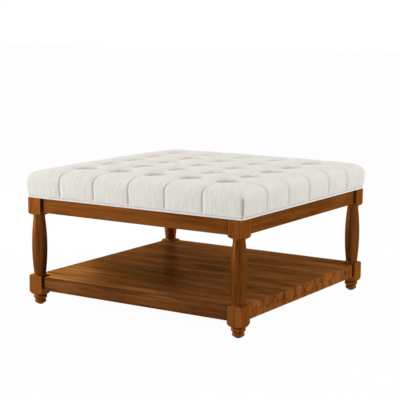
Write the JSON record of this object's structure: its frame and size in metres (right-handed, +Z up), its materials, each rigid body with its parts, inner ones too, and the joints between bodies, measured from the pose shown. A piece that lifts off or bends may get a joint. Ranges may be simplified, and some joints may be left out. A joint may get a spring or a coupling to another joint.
{
  "type": "ottoman coffee table",
  "caption": "Square coffee table with a button-tufted cushion top, turned wooden legs and a low plank shelf between them.",
  "frame": {"origin": "centre of the footprint on the floor", "axes": "+Z up, +X and +Y square to the table's sides, with the shelf's staves running along X"},
  "size_m": [0.826, 0.826, 0.457],
  "materials": {
    "turned_wood": "satin walnut stain",
    "apron_wood": "satin walnut stain",
    "shelf_wood": "satin walnut stain",
    "block_wood": "dark walnut stain, sprayed",
    "plywood": "bare plywood",
    "zinc_steel": "zinc plated",
    "glide_plastic": "moulded brown plastic",
    "foam": "open-cell foam",
    "twine": "waxed flat twine",
    "black_cloth": "thin non-woven cloth",
    "linen": "ivory slub linen weave"
  },
  "bodies": {
    "root": {"apron_back": "apron_wood", "apron_front": "apron_wood", "apron_left": "apron_wood", "apron_right": "apron_wood", "corner_block_back_left": "block_wood", "corner_block_back_right": "block_wood", "corner_block_front_left": "block_wood", "corner_block_front_right": "block_wood", "cushion_cover": "linen", "dust_cover": "black_cloth", "foam_pad": "foam", "frame_bolts": "zinc_steel", "frame_nuts": "zinc_steel", "frame_washers": "zinc_steel", "glides": "glide_plastic", "leg_back_left": "turned_wood", "leg_back_right": "turned_wood", "leg_front_left": "turned_wood", "leg_front_right": "turned_wood", "shelf_bolts": "zinc_steel", "shelf_nuts": "zinc_steel", "shelf_stave_01": "shelf_wood", "shelf_stave_02": "shelf_wood", "shelf_stave_03": "shelf_wood", "shelf_stave_04": "shelf_wood", "shelf_stave_05": "shelf_wood", "shelf_stave_06": "shelf_wood", "shelf_stave_07": "shelf_wood", "shelf_stave_08": "shelf_wood", "shelf_stave_09": "shelf_wood", "shelf_stave_10": "shelf_wood", "shelf_stave_11": "shelf_wood", "shelf_stave_12": "shelf_wood", "shelf_washers": "zinc_steel", "top_deck": "plywood", "top_screws": "zinc_steel", "tuft_buttons": "linen", "tuft_twine": "twine", "twine_staples": "zinc_steel", "welt_cord": "linen"}
  },
  "joints": []
}
